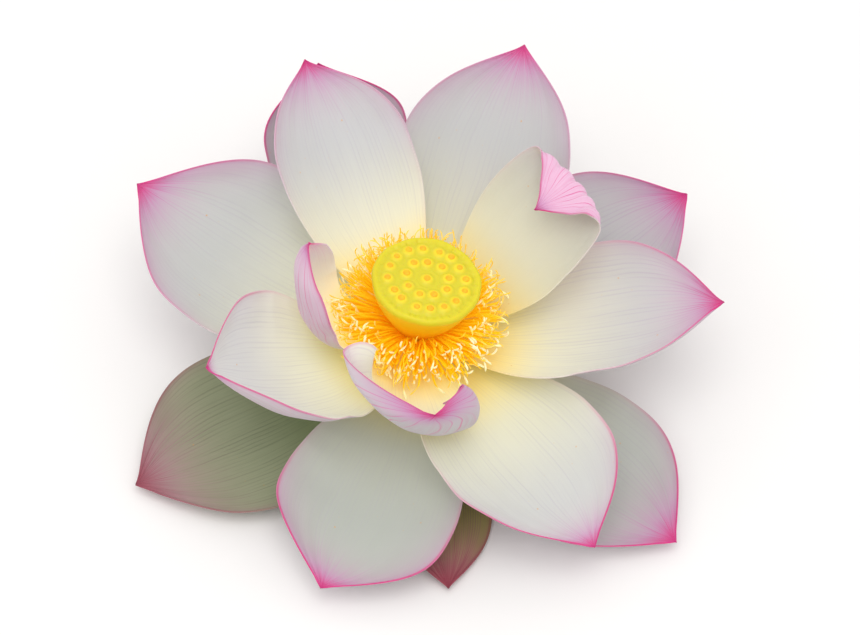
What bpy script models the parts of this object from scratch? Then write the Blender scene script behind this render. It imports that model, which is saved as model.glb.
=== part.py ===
"""A lotus blossom, picked with a short stub of its stalk and resting face up on three of its outer petals.

Run it with: blender --background --python part.py
Metres, +Z up. The origin is the middle of the blossom's footprint, on the surface that it rests on.
"""

import math
import random
from dataclasses import dataclass

import bmesh
import bpy
import numpy as np

MM = 0.001

# The flower's axis stands a little off the middle of its footprint, because the petals aren't alike
AXIS_X = -2.0 * MM
AXIS_Y = -4.3 * MM
HEART_Z = 24.0 * MM  # where the stamens grow and the seed head's cup starts to flare
GAP = 0.3 * MM  # clearance between pieces that grow out of each other

# Stalk: the cut stub, and the torus above it that carries the petals
STUB_BOTTOM_Z = 1.2 * MM  # it hangs just clear of the surface
STUB_RADIUS = 5.2 * MM
TORUS_RADIUS = 7.8 * MM
TORUS_BOTTOM_Z = 8.6 * MM
STALK_SIDES = 28
CANAL_COUNT = 6  # round one in the middle
CANAL_RADIUS = 0.9 * MM
CANAL_RING_RADIUS = 2.9 * MM
CANAL_DEPTH = 3.0 * MM

# Seed head
NECK_RADIUS = 6.2 * MM
NECK_LENGTH = 3.0 * MM  # below the heart
CUP_TOP_RADIUS = 18.2 * MM
CUP_HEIGHT = 24.0 * MM
CUP_LEAN = 7.5  # degrees, towards +X
CUP_LEAN_HEIGHT = 8.0 * MM  # the cup bends over below this height and is straight above it
CUP_SIDES = 40
CARPEL_RINGS = ((1, 0.0, 0.0), (9, 7.2 * MM, 8.0), (16, 12.6 * MM, 4.0))  # count, ring radius, first angle
CARPEL_SIDES = 7
MOUND_RADIUS = 2.0 * MM
MOUND_HEIGHT = 0.45 * MM
STIGMA_RADIUS = 1.0 * MM
STIGMA_HEIGHT = 0.8 * MM

# Stamens: a collar round the seed head's neck, with rows of stamens growing from it
COLLAR_INNER_RADIUS = NECK_RADIUS + GAP
COLLAR_OUTER_RADIUS = 8.2 * MM
COLLAR_BOTTOM = -NECK_LENGTH + GAP  # below the heart
COLLAR_SIDES = 40
STAMENS_IN_ROW = 40
STAMEN_RADIUS = 0.42 * MM
# Root radius, root height above the heart, reach, rise at the tip, and the arc of azimuths left out because
# an inner petal stands there
STAMEN_ROWS = (
    (7.8 * MM, -0.9 * MM, 23.0 * MM, 5.5 * MM, (150, 252)),
    (7.5 * MM, -0.1 * MM, 20.0 * MM, 10.5 * MM, None),
    (7.2 * MM, -0.1 * MM, 16.0 * MM, 13.4 * MM, None),
)
STAMEN_SEED = 7

# Petals
PETAL_THICKNESS = 0.9 * MM
PETAL_ROOT_RADIUS = TORUS_RADIUS + 0.5 * MM
CLAW_SHARE = 0.17  # the root's width, as a share of the blade's
TIP_ROUNDNESS = 2.5
TIP_POINT = 0.2
PETAL_ROWS = 13
PETAL_COLUMNS = 8
CURLED_ROWS = 18
CURLED_COLUMNS = 10


@dataclass
class Fold:
    """A line across the flat blade past which it curls over towards the heart of the flower."""

    at: float  # where the line crosses the midrib, as a share of the length
    turn: float  # the line's turn from square across, degrees
    radius: float  # metres
    bend: float  # degrees


@dataclass
class Petal:
    """One petal. Lengths are in metres and angles in degrees."""

    name: str
    drop: float  # how far the root is below the heart
    azimuth: float  # direction of the root from the axis, from +X towards +Y
    length: float
    width: float
    rise: tuple  # slope of the midrib above the horizontal at even steps from its root to its tip
    cup: float  # half the angle that the blade turns through from side to side
    lean: float = 0.0  # turn of the blade about its midrib, left side up
    sway: float = 0.0  # turn of the midrib to the left between root and tip
    broadest: float = 0.56
    folds: tuple = ()
    rests: bool = False


PETALS = (
    Petal("petal_inner_back", 3.8 * MM, 115.5, 97 * MM, 54 * MM, (4, 28, 44), 50, sway=-2, broadest=0.6),
    Petal("petal_inner_right", 3.8 * MM, 34, 88 * MM, 53 * MM, (2, 38, 54), 50,
          folds=(Fold(0.735, 3, 3.0 * MM, 150),)),
    Petal("petal_inner_left", 3.5 * MM, 188, 73 * MM, 40 * MM, (3, 10, 54, 86, 92, 130), 80, sway=-14),
    Petal("petal_inner_front", 3.0 * MM, 248, 68 * MM, 78 * MM, (2, 6, 18, 56, 78), 80, lean=-38, sway=76,
          broadest=0.8, folds=(Fold(2.25, -80, 4.0 * MM, 170),)),
    Petal("petal_middle_back", 7.4 * MM, 69, 105 * MM, 66 * MM, (0, 27, 44), 45),
    Petal("petal_middle_left", 9.4 * MM, 156, 104 * MM, 73 * MM, (-5, 15, 38), 42, lean=-7, sway=-4),
    Petal("petal_middle_front_left", 6.8 * MM, 211, 84 * MM, 66 * MM, (-8, 28, 62), 60, lean=-6),
    Petal("petal_middle_front_right", 8.0 * MM, 303, 94 * MM, 62 * MM, (-6, 2, 10), 40, lean=-2),
    Petal("petal_middle_right", 6.5 * MM, 356, 97 * MM, 64 * MM, (-2, 16, 36), 56),
    Petal("petal_outer_back", 11.2 * MM, 109, 122 * MM, 57 * MM, (-37.3, -9, 12, 44, 74), 45, lean=-4,
          broadest=0.78, rests=True),
    Petal("petal_outer_right", 11.0 * MM, 28, 101 * MM, 68 * MM, (-12, 11, 40), 40, broadest=0.6),
    Petal("petal_outer_front_right", 13.0 * MM, 318, 105 * MM, 68 * MM, (-22, -2, 14), 32, lean=-3,
          rests=True),
    Petal("petal_outer_front_left", 11.0 * MM, 261, 92 * MM, 62 * MM, (-8, -3.5, 6), 33, lean=-7, sway=-20,
          broadest=0.66),
    Petal("sepal_front", 14.9 * MM, 276, 83 * MM, 36 * MM, (-16, -2, 2), 9, lean=-9),
    Petal("sepal_left", 14.4 * MM, 209, 99 * MM, 66 * MM, (-17.9, -3, 12), 32, lean=-5, rests=True),
)


def clear_scene():
    for leftover in list(bpy.data.objects):
        bpy.data.objects.remove(leftover)


def new_material(name, colour, roughness):
    material = bpy.data.materials.new(name)
    material.use_nodes = True
    shader = material.node_tree.nodes["Principled BSDF"]
    shader.inputs["Base Color"].default_value = (*colour, 1.0)
    shader.inputs["Roughness"].default_value = roughness
    shader.inputs["Metallic"].default_value = 0.0
    return material


def petal_white():
    return new_material("petal_white", (0.80, 0.76, 0.74), 0.5)


def sepal_green():
    return new_material("sepal_green", (0.30, 0.34, 0.17), 0.55)


def seed_head_yellow():
    return new_material("seed_head_yellow", (0.74, 0.62, 0.04), 0.45)


def stamen_gold():
    return new_material("stamen_gold", (0.95, 0.50, 0.02), 0.6)


def stalk_green():
    return new_material("stalk_green", (0.20, 0.32, 0.09), 0.5)


def new_object(name, corners, faces, material=None):
    mesh = bpy.data.meshes.new(name)
    mesh.from_pydata([tuple(corner) for corner in corners], [], faces)
    if material is not None:
        mesh.materials.append(material)
    piece = bpy.data.objects.new(name, mesh)
    bpy.context.scene.collection.objects.link(piece)
    return piece


def face_outwards(piece):
    shell = bmesh.new()
    shell.from_mesh(piece.data)
    bmesh.ops.recalc_face_normals(shell, faces=shell.faces)
    shell.to_mesh(piece.data)
    shell.free()


def apply_modifiers(piece):
    bpy.context.view_layer.objects.active = piece
    for modifier in list(piece.modifiers):
        bpy.ops.object.modifier_apply(modifier=modifier.name)


def combine(piece, others, operation, solver):
    """Joins the other objects to the piece, or cuts them out of it, and removes them."""
    group = bpy.data.collections.new(piece.name + "_others")
    for other in others:
        group.objects.link(other)
    modifier = piece.modifiers.new("combine", "BOOLEAN")
    modifier.operation = operation
    modifier.operand_type = "COLLECTION"
    modifier.collection = group
    modifier.solver = solver
    apply_modifiers(piece)
    for other in others:
        bpy.data.objects.remove(other)
    bpy.data.collections.remove(group)


def turned_shape(name, profile, sides, material=None, centre=(0.0, 0.0)):
    """A closed body turned about a vertical axis. The profile's first and last points are on the axis."""
    corners = [(centre[0], centre[1], profile[0][1])]
    for radius, height in profile[1:-1]:
        for side in range(sides):
            angle = 2 * math.pi * side / sides
            corners.append((centre[0] + radius * math.cos(angle), centre[1] + radius * math.sin(angle), height))
    corners.append((centre[0], centre[1], profile[-1][1]))
    last = len(corners) - 1
    faces = []
    for side in range(sides):
        after = (side + 1) % sides
        faces.append((0, 1 + after, 1 + side))
        for ring in range(len(profile) - 3):
            low = 1 + ring * sides
            high = low + sides
            faces.append((low + side, low + after, high + after, high + side))
        faces.append((last - sides + side, last - sides + after, last))
    return new_object(name, corners, faces, material)


def outline(petal, along):
    """Share of the full width at shares of the length: a narrow claw, a broad blade and a pointed tip."""
    rising = np.clip(along / petal.broadest, 0, 1)
    falling = np.clip((along - petal.broadest) / (1 - petal.broadest), 0, 1)
    claw = CLAW_SHARE + (1 - CLAW_SHARE) * np.sin(rising * math.pi / 2)
    tip = (1 - falling**TIP_ROUNDNESS) ** (1 + TIP_POINT * falling**4)
    return claw * tip


def midrib(petal, along):
    """Points, leftward directions and upward normals of the midrib at shares of the length."""
    steps = np.linspace(0, 1, 201)
    slope = np.radians(np.interp(steps, np.linspace(0, 1, len(petal.rise)), petal.rise))
    heading = np.radians(petal.sway) * steps
    ahead = np.cos(slope)
    direction = np.stack([ahead * np.cos(heading), ahead * np.sin(heading), np.sin(slope)], axis=1)
    pace = (direction[1:] + direction[:-1]) / 2 * petal.length / (len(steps) - 1)
    points = np.vstack([np.zeros(3), np.cumsum(pace, axis=0)])
    level = np.stack([-np.sin(heading), np.cos(heading), np.zeros_like(heading)], axis=1)
    square = np.cross(direction, level)
    lean = (np.radians(petal.lean) * np.clip(steps / 0.4, 0, 1))[:, None]
    left = level * np.cos(lean) + square * np.sin(lean)
    upward = square * np.cos(lean) - level * np.sin(lean)
    return [
        np.stack([np.interp(along, steps, values[:, axis]) for axis in range(3)], axis=-1)
        for values in (points, left, upward)
    ]


def curl_over(petal, across, ahead):
    """Where points of the flat blade go when its folds curl over: across, ahead, and height above the blade."""
    height = np.zeros_like(across)
    for fold in petal.folds:
        turn = math.radians(fold.turn)
        line_x = -math.sin(turn)
        line_y = math.cos(turn)
        past = np.maximum(across * line_x + (ahead - fold.at * petal.length) * line_y, 0)
        bend = math.radians(fold.bend)
        angle = np.minimum(past / fold.radius, bend)
        straight = past - fold.radius * angle
        onward = fold.radius * np.sin(angle) + straight * math.cos(bend)
        height = height + fold.radius * (1 - np.cos(angle)) + straight * math.sin(bend)
        across = across + line_x * (onward - past)
        ahead = ahead + line_y * (onward - past)
    return across, ahead, height


def blade(petal, along, share):
    """Points of a petal's middle surface, with its root at the origin and growing along +X.

    along runs from 0 at the root to 1 at the tip, and share from -1 at the right edge to 1 at the left.
    """
    half_width = petal.width / 2
    across = share * half_width * outline(petal, along)
    across, ahead, height = curl_over(petal, across, along * petal.length)
    place = np.clip(ahead / petal.length, 0, 1)
    points, left, upward = midrib(petal, place)
    arc = np.radians(petal.cup) * (0.45 + 0.55 * np.clip(place / 0.5, 0, 1))
    curvature = arc / (half_width * np.maximum(outline(petal, place), 0.12))
    angle = across * curvature
    sideways = np.sin(angle) * (1 / curvature - height)
    lift = (1 - np.cos(angle)) / curvature + height * np.cos(angle)
    return points + left * sideways[..., None] + upward * lift[..., None]


def petal_solid(petal, rows, columns):
    """Corners and triangles of a petal: its two faces, split alike, and the rim between them."""
    along, share = np.meshgrid(np.linspace(0, 1, rows + 1), np.linspace(-1, 1, columns + 1), indexing="ij")
    middle = blade(petal, along, share)
    onward = np.gradient(middle, axis=0)
    across = np.gradient(middle, axis=1)
    across[-1] = across[-2]
    upward = np.cross(onward, across)
    upward /= np.linalg.norm(upward, axis=2)[..., None]
    upward[-1] = upward[-1, columns // 2]
    tip = rows * (columns + 1)
    upper = (middle + upward * PETAL_THICKNESS / 2).reshape(-1, 3)[: tip + 1]
    lower = (middle - upward * PETAL_THICKNESS / 2).reshape(-1, 3)[: tip + 1]

    def corner(row, column):
        return tip if row == rows else row * (columns + 1) + column

    triangles = []
    for row in range(rows):
        for column in range(columns):
            near = corner(row, column)
            far = corner(row + 1, column)
            far_left = corner(row + 1, column + 1)
            if far != far_left:
                triangles.append((near, far, far_left))
            triangles.append((near, far_left, corner(row, column + 1)))
    faces = list(triangles)
    faces += [(c + tip + 1, b + tip + 1, a + tip + 1) for a, b, c in triangles]
    rim = [corner(0, column) for column in range(columns)]
    rim += [corner(row, columns) for row in range(rows)]
    rim += [corner(row, 0) for row in range(rows, 0, -1)]
    for start, end in zip(rim, rim[1:] + rim[:1]):
        faces.append((start, end, end + tip + 1))
        faces.append((start, end + tip + 1, start + tip + 1))
    return np.vstack([upper, lower]), faces


def press_flat(piece, floor):
    """Cuts off what is below the floor, given in the piece's own frame, and closes the cut with a flat face."""
    shell = bmesh.new()
    shell.from_mesh(piece.data)
    geometry = shell.verts[:] + shell.edges[:] + shell.faces[:]
    cut = bmesh.ops.bisect_plane(
        shell, geom=geometry, dist=1e-7, plane_co=(0, 0, floor), plane_no=(0, 0, -1), clear_outer=True
    )
    edges = [item for item in cut["geom_cut"] if isinstance(item, bmesh.types.BMEdge)]
    filled = bmesh.ops.holes_fill(shell, edges=edges)
    bmesh.ops.triangulate(shell, faces=filled["faces"])
    shell.to_mesh(piece.data)
    shell.free()


def grow_petal(petal, material):
    curled = bool(petal.folds) or petal.cup > 60
    rows, columns = (CURLED_ROWS, CURLED_COLUMNS) if curled else (PETAL_ROWS, PETAL_COLUMNS)
    corners, faces = petal_solid(petal, rows, columns)
    piece = new_object(petal.name, corners, faces, material)
    azimuth = math.radians(petal.azimuth)
    piece.location = (
        AXIS_X + PETAL_ROOT_RADIUS * math.cos(azimuth),
        AXIS_Y + PETAL_ROOT_RADIUS * math.sin(azimuth),
        HEART_Z - petal.drop,
    )
    piece.rotation_euler.z = azimuth
    if petal.rests:
        press_flat(piece, petal.drop - HEART_Z)
    face_outwards(piece)


def grow_stalk(material):
    profile = (
        (0, STUB_BOTTOM_Z),
        (STUB_RADIUS, STUB_BOTTOM_Z),
        (STUB_RADIUS, STUB_BOTTOM_Z + 4 * MM),
        (STUB_RADIUS + 0.8 * MM, TORUS_BOTTOM_Z - 2.0 * MM),
        (TORUS_RADIUS - 0.7 * MM, TORUS_BOTTOM_Z - 0.7 * MM),
        (TORUS_RADIUS, TORUS_BOTTOM_Z),
        (TORUS_RADIUS, HEART_Z - NECK_LENGTH - GAP),
        (0, HEART_Z - NECK_LENGTH - GAP),
    )
    piece = turned_shape("stalk", profile, STALK_SIDES, material)
    centres = [(0.0, 0.0)]
    for canal in range(CANAL_COUNT):
        angle = 2 * math.pi * canal / CANAL_COUNT
        centres.append((CANAL_RING_RADIUS * math.cos(angle), CANAL_RING_RADIUS * math.sin(angle)))
    start = STUB_BOTTOM_Z - 1 * MM
    end = STUB_BOTTOM_Z + CANAL_DEPTH
    bore = ((0, start), (CANAL_RADIUS, start), (CANAL_RADIUS, end), (0, end))
    canals = [turned_shape("canal", bore, 10, centre=centre) for centre in centres]
    combine(piece, canals, "DIFFERENCE", "EXACT")
    piece.location = (AXIS_X, AXIS_Y, 0)
    face_outwards(piece)


def lean_over(piece):
    """Bends the upright seed head over towards +X."""
    most = math.radians(CUP_LEAN)
    for vertex in piece.data.vertices:
        x, y, z = vertex.co
        angle = most * min(max(z / CUP_LEAN_HEIGHT, 0), 1)
        middle_x = CUP_LEAN_HEIGHT / most * (1 - math.cos(angle))
        middle_z = CUP_LEAN_HEIGHT / most * math.sin(angle)
        beyond = z - CUP_LEAN_HEIGHT * angle / most
        vertex.co = (
            middle_x + beyond * math.sin(angle) + x * math.cos(angle),
            y,
            middle_z + beyond * math.cos(angle) - x * math.sin(angle),
        )


def carpel(centre):
    """One seed's low mound with the knob of its stigma, on the seed head's level face."""
    top = CUP_HEIGHT + MOUND_HEIGHT
    profile = (
        (0, CUP_HEIGHT - 0.6 * MM),
        (MOUND_RADIUS, CUP_HEIGHT - 0.6 * MM),
        (MOUND_RADIUS, CUP_HEIGHT + 0.1 * MM),
        (STIGMA_RADIUS + 0.15 * MM, top),
        (STIGMA_RADIUS, top + 0.6 * STIGMA_HEIGHT),
        (0.6 * STIGMA_RADIUS, top + 0.9 * STIGMA_HEIGHT),
        (0, top + STIGMA_HEIGHT),
    )
    return turned_shape("carpel", profile, CARPEL_SIDES, centre=centre)


def grow_seed_head(material):
    profile = (
        (0, -NECK_LENGTH),
        (NECK_RADIUS, -NECK_LENGTH),
        (NECK_RADIUS, 0),
        (8.4 * MM, 2.4 * MM),
        (11.2 * MM, 6.8 * MM),
        (13.8 * MM, 11.4 * MM),
        (16.0 * MM, 16.0 * MM),
        (17.8 * MM, 20.6 * MM),
        (CUP_TOP_RADIUS, 22.4 * MM),
        (CUP_TOP_RADIUS - 0.2 * MM, 23.4 * MM),
        (CUP_TOP_RADIUS - 0.9 * MM, CUP_HEIGHT),
        (0, CUP_HEIGHT),
    )
    piece = turned_shape("seed_head", profile, CUP_SIDES, material)
    carpels = []
    for count, ring_radius, first in CARPEL_RINGS:
        for seed in range(count):
            angle = math.radians(first + 360 * seed / count)
            carpels.append(carpel((ring_radius * math.cos(angle), ring_radius * math.sin(angle))))
    combine(piece, carpels, "UNION", "EXACT")
    lean_over(piece)
    piece.location = (AXIS_X, AXIS_Y, HEART_Z)
    face_outwards(piece)


def stamen(azimuth, root_radius, root_height, reach, rise, tip_turn):
    """A stamen that rises steeply, arches outwards and ends in a thicker anther and a club."""
    shares = (0.0, 0.3, 0.55, 0.66, 0.88, 1.0)
    girths = (1.0, 0.85, 0.85, 1.15, 1.25, 0.75)
    corners = []
    for share, girth in zip(shares, girths):
        angle = azimuth + tip_turn * share**2
        outwards = (math.cos(angle), math.sin(angle), 0.0)
        sideways = (-math.sin(angle), math.cos(angle), 0.0)
        along = root_radius + reach * share
        height = root_height + rise * (1.3 * share - 0.3 * share**2)
        slope = math.atan2(rise * (1.3 - 0.6 * share), reach)
        for side in range(3):
            turn = 2 * math.pi * side / 3
            wide = STAMEN_RADIUS * girth * math.cos(turn)
            high = STAMEN_RADIUS * girth * math.sin(turn)
            radial = along - high * math.sin(slope)
            corners.append((
                radial * outwards[0] + wide * sideways[0],
                radial * outwards[1] + wide * sideways[1],
                height + high * math.cos(slope),
            ))
    faces = [(2, 1, 0), (len(corners) - 3, len(corners) - 2, len(corners) - 1)]
    for ring in range(len(shares) - 1):
        for side in range(3):
            low = 3 * ring + side
            low_next = 3 * ring + (side + 1) % 3
            faces.append((low, low_next, low_next + 3, low + 3))
    return new_object("stamen", corners, faces)


def grow_stamens(material):
    corners = []
    for radius, height in (
        (COLLAR_INNER_RADIUS, COLLAR_BOTTOM),
        (COLLAR_OUTER_RADIUS, COLLAR_BOTTOM),
        (COLLAR_OUTER_RADIUS, -0.5 * MM),
        (COLLAR_OUTER_RADIUS - 0.5 * MM, 0.0),
        (COLLAR_INNER_RADIUS, 0.0),
    ):
        for side in range(COLLAR_SIDES):
            angle = 2 * math.pi * side / COLLAR_SIDES
            corners.append((radius * math.cos(angle), radius * math.sin(angle), height))
    faces = []
    for ring in range(5):
        for side in range(COLLAR_SIDES):
            after = (side + 1) % COLLAR_SIDES
            low = ring * COLLAR_SIDES
            high = (ring + 1) % 5 * COLLAR_SIDES
            faces.append((low + side, low + after, high + after, high + side))
    piece = new_object("stamens", corners, faces, material)
    dice = random.Random(STAMEN_SEED)
    grown = []
    for row, (root_radius, root_height, reach, rise, left_out) in enumerate(STAMEN_ROWS):
        for place in range(STAMENS_IN_ROW):
            degrees = 360 * (place + 0.5 * (row % 2)) / STAMENS_IN_ROW
            tip_turn = math.radians(dice.uniform(-2, 2))
            length = dice.uniform(0.92, 1.0)
            height = dice.uniform(0.9, 1.05)
            if left_out is None or not left_out[0] < degrees < left_out[1]:
                grown.append(stamen(
                    math.radians(degrees), root_radius, root_height, reach * length, rise * height, tip_turn
                ))
    face_outwards(piece)
    for other in grown:
        face_outwards(other)
    combine(piece, grown, "UNION", "MANIFOLD")
    piece.location = (AXIS_X, AXIS_Y, HEART_Z)
    face_outwards(piece)


def main():
    clear_scene()
    white = petal_white()
    green = sepal_green()
    for petal in PETALS:
        grow_petal(petal, green if petal.name.startswith("sepal") else white)
    grow_seed_head(seed_head_yellow())
    grow_stamens(stamen_gold())
    grow_stalk(stalk_green())


if __name__ == "__main__":
    main()
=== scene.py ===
"""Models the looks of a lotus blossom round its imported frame: petals, seed head, stamens and the cut stalk.

It is laid out as an add-on and run as a script. Metres, +Z up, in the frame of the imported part.
"""

import math
import random
from dataclasses import dataclass

import bpy
import numpy as np
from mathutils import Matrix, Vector
from mathutils.bvhtree import BVHTree


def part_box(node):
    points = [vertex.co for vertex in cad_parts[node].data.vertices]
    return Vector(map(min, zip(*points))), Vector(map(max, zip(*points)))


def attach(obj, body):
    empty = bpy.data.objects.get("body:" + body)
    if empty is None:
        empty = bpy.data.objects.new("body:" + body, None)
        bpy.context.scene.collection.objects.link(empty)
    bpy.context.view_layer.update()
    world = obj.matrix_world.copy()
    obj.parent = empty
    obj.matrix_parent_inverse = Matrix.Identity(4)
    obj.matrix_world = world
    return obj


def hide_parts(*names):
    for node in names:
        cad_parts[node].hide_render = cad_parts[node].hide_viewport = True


bl_info = {
    "name": "Lotus Blossom",
    "version": (1, 0, 0),
    "blender": (4, 5, 0),
    "location": "3D View > Sidebar > Lotus",
    "description": "Models the petals, seed head, stamens and stalk of a lotus blossom round its frame",
    "category": "Add Mesh",
}

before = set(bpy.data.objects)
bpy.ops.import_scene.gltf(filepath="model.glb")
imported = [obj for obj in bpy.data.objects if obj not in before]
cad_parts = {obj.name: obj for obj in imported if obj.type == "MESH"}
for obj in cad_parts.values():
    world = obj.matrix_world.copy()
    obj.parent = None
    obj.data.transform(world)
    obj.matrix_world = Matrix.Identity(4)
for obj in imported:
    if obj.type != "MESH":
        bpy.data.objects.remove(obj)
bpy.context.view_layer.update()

MM = 0.001
GAP = 0.3 * MM  # between the stalk's torus and the neck of the seed head
NECK_LENGTH = 3.0 * MM  # from there to the heart, where the seed head starts to flare

STALK_LOW, STALK_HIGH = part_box("stalk")
AXIS = ((STALK_LOW.x + STALK_HIGH.x) / 2, (STALK_LOW.y + STALK_HIGH.y) / 2)
HEART_Z = STALK_HIGH.z + GAP + NECK_LENGTH
TORUS_RADIUS = (STALK_HIGH.x - STALK_LOW.x) / 2
STUB_BOTTOM_Z = STALK_LOW.z

# Petals. A share is of the blade's length or of its full width
PETAL_ROOT_RADIUS = TORUS_RADIUS + 0.5 * MM
CLAW_SHARE = 0.17  # the root's width
TIP_ROUNDNESS = 2.5
TIP_POINT = 0.2
MIDRIB_STEPS = 201
LEAN_REACH = 0.4  # the share of the length over which a blade turns to its lean
SCALLOP_LENGTH = 8.0 * MM
SCALLOP_START = 0.6  # radians
SCALLOP_MEAN = 0.6
SCALLOP_REACH = 5.0 * MM  # how far past the crest the scallops die away
RIPPLE_HEIGHT = 0.22 * MM
RIPPLE_START = 0.3
RIPPLE_EASE = 0.3
ROOT_CUP = 0.45  # how cupped the root is, as a share of the petal's cup
CUP_EASE = 0.5  # the share of the length by which the blade has its full cup
NARROWEST = 0.12  # the least share of the full width that the cup's curvature is worked out from
MARGIN_TAPER = 6.0 * MM  # how far in from the margin a blade has its full thickness
WELD_DISTANCE = 0.02 * MM
PETAL_ROWS = 84
PETAL_COLUMNS = 56

# Seed head
NECK_RADIUS = 6.2 * MM
CUP_TOP_RADIUS = 18.2 * MM
CUP_HEIGHT = 24.0 * MM
CUP_SIDE = (  # radius and height above the heart, from the neck to the rim
    (NECK_RADIUS, -NECK_LENGTH),
    (NECK_RADIUS, 0),
    (8.4 * MM, 2.4 * MM),
    (11.2 * MM, 6.8 * MM),
    (13.8 * MM, 11.4 * MM),
    (16.0 * MM, 16.0 * MM),
    (17.8 * MM, 20.6 * MM),
    (CUP_TOP_RADIUS, 22.4 * MM),
    (CUP_TOP_RADIUS - 0.2 * MM, 23.4 * MM),
    (CUP_TOP_RADIUS - 0.9 * MM, CUP_HEIGHT),
)
CUP_LEAN = 7.5  # degrees, towards +X
CUP_LEAN_HEIGHT = 8.0 * MM
CUP_SIDES = 160
CUP_RINGS = (34, 10, 46)  # on the side, the shoulder and the face
CARPEL_RINGS = ((1, 0.0, 0.0), (9, 7.2 * MM, 8.0), (16, 12.6 * MM, 4.0))  # count, ring radius, first angle
MOUND_HEIGHT = 0.55 * MM
MOUND_RADIUS = 1.9 * MM
MOUND_SOFTNESS = 0.34 * MM
DITCH_RADIUS = 2.9 * MM  # round each mound
DITCH_DEPTH = 0.3 * MM
BAND_RADIUS = 15.6 * MM  # a shallow ring inside the rim
BAND_DEPTH = 0.25 * MM
GROOVE_WIDTH = 0.8 * MM  # of the ditches and the band
WRINKLE_HEIGHT = 0.22 * MM
STIGMA_RADIUS = 1.12 * MM
STIGMA_HEIGHT = 0.55 * MM
STIGMA_SIDES = 14
STIGMA_KNOB = (  # shares of its radius and height
    (0.5, -0.9), (1.0, -0.6), (1.06, 0.0), (1.0, 0.45), (0.8, 0.8), (0.5, 0.97), (0.25, 0.93), (0.1, 0.88),
)

# Stamens. Each ring has its share of the length, and its girth as a share of the filament's
STAMEN_RINGS = (
    (0.0, 1.0), (0.2, 0.95), (0.4, 0.9), (0.54, 1.0), (0.62, 1.35), (0.73, 1.45), (0.81, 1.25), (0.845, 0.8),
    (0.875, 0.9), (0.92, 1.4), (0.965, 1.5), (1.0, 0.7),
)
STAMEN_CLUB = 8  # its first ring
STAMEN_FREE = 3  # the first ring that is kept clear of the petals and the seed head
STAMEN_SIDES = 5
STAMEN_STEPS = 49
STAMEN_LENGTHS = (19.0, 26.5)  # millimetres
LONGER_BEHIND = 4.0  # millimetres
STEEPER_BEHIND = 26  # degrees: the petals behind stand steeper and lift the stamens
STEEPEST = math.radians(84)
STAMEN_CURLS = (-80, -50, 30, 60, 90, 120)  # degrees
STAMEN_CLEARANCE = 0.55 * MM
STAMEN_ATTEMPTS = 24
LIFT_STEP = math.radians(3.0)
GOLDEN_ANGLE = math.pi * (3 - math.sqrt(5))

# Stalk
STUB_RADIUS = 5.2 * MM
TORUS_BOTTOM_Z = 8.6 * MM
STALK_SIDES = 72
CANAL_COUNT = 6
CANAL_RADIUS = 0.9 * MM
CANAL_RING_RADIUS = 2.9 * MM
CANAL_DEPTH = 3.0 * MM
CANAL_SIDES = 20

# Stage
FLOOR_SIZE = 6.0
SENSOR_WIDTH = 36.0  # millimetres
VIEW_SHIFT = (0.0128, 0.0076)  # how far the view stands off the heart, as shares of its width


def srgb(red, green, blue):
    """A colour of 0 to 255 a channel, as the linear values that Blender's colours take."""
    shares = (value / 255 for value in (red, green, blue))
    return tuple(share / 12.92 if share <= 0.04045 else ((share + 0.055) / 1.055) ** 2.4 for share in shares)


@dataclass
class Fold:
    """A line across the flat blade past which it curls over towards the heart of the flower."""

    at: float  # where the line crosses the midrib, as a share of the length
    turn: float  # the line's turn from square across, degrees
    radius: float  # metres
    bend: float  # degrees
    scallop: float = 0.0  # depth of the scallops along the crest, metres


@dataclass
class Petal:
    """One petal's form and tints. Lengths are in metres but for the pink's, and angles in degrees."""

    name: str
    drop: float  # how far the root is below the heart
    azimuth: float  # direction of the root from the axis, from +X towards +Y
    length: float
    width: float
    rise: tuple  # slope of the midrib above the horizontal at even steps from its root to its tip
    cup: float  # half the angle that the blade turns through from side to side
    lean: float = 0.0  # turn of the blade about its midrib, left side up
    sway: float = 0.0  # turn of the midrib to the left between root and tip
    broadest: float = 0.56
    folds: tuple = ()
    tip_reach: float = 14.0  # how far the tip's pink runs down the blade, millimetres
    blush: float = 0.45  # strength of the soft pink along the margins
    blush_width: float = 3.5  # millimetres
    rim: float = 0.4  # strength of the fine bright pink line at the very margin, partly the margin's own pink and partly a painted highlight where the edge catches the light
    veins: float = 0.35  # strength of the veins on the inner face
    shade: float = 0.0  # a petal goes from white, 0, to greyer, 1, which is partly its own greener grey and partly painted shade; a sepal goes from green to brown
    cream: float = 0.3  # how far the cream of the foot reaches up the blade
    painted_glow: float = 0.1  # painted light: emission that lifts the blade's shaded parts and stands in for light let through from all round, as a share of the blade's colour
    tone: float = 1.0  # brightness of the blade, against the other petals'
    one_sided: float = 0.0  # how far the pink stays off the right margin
    flush: float = 0.0  # how pink the outer face is


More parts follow.
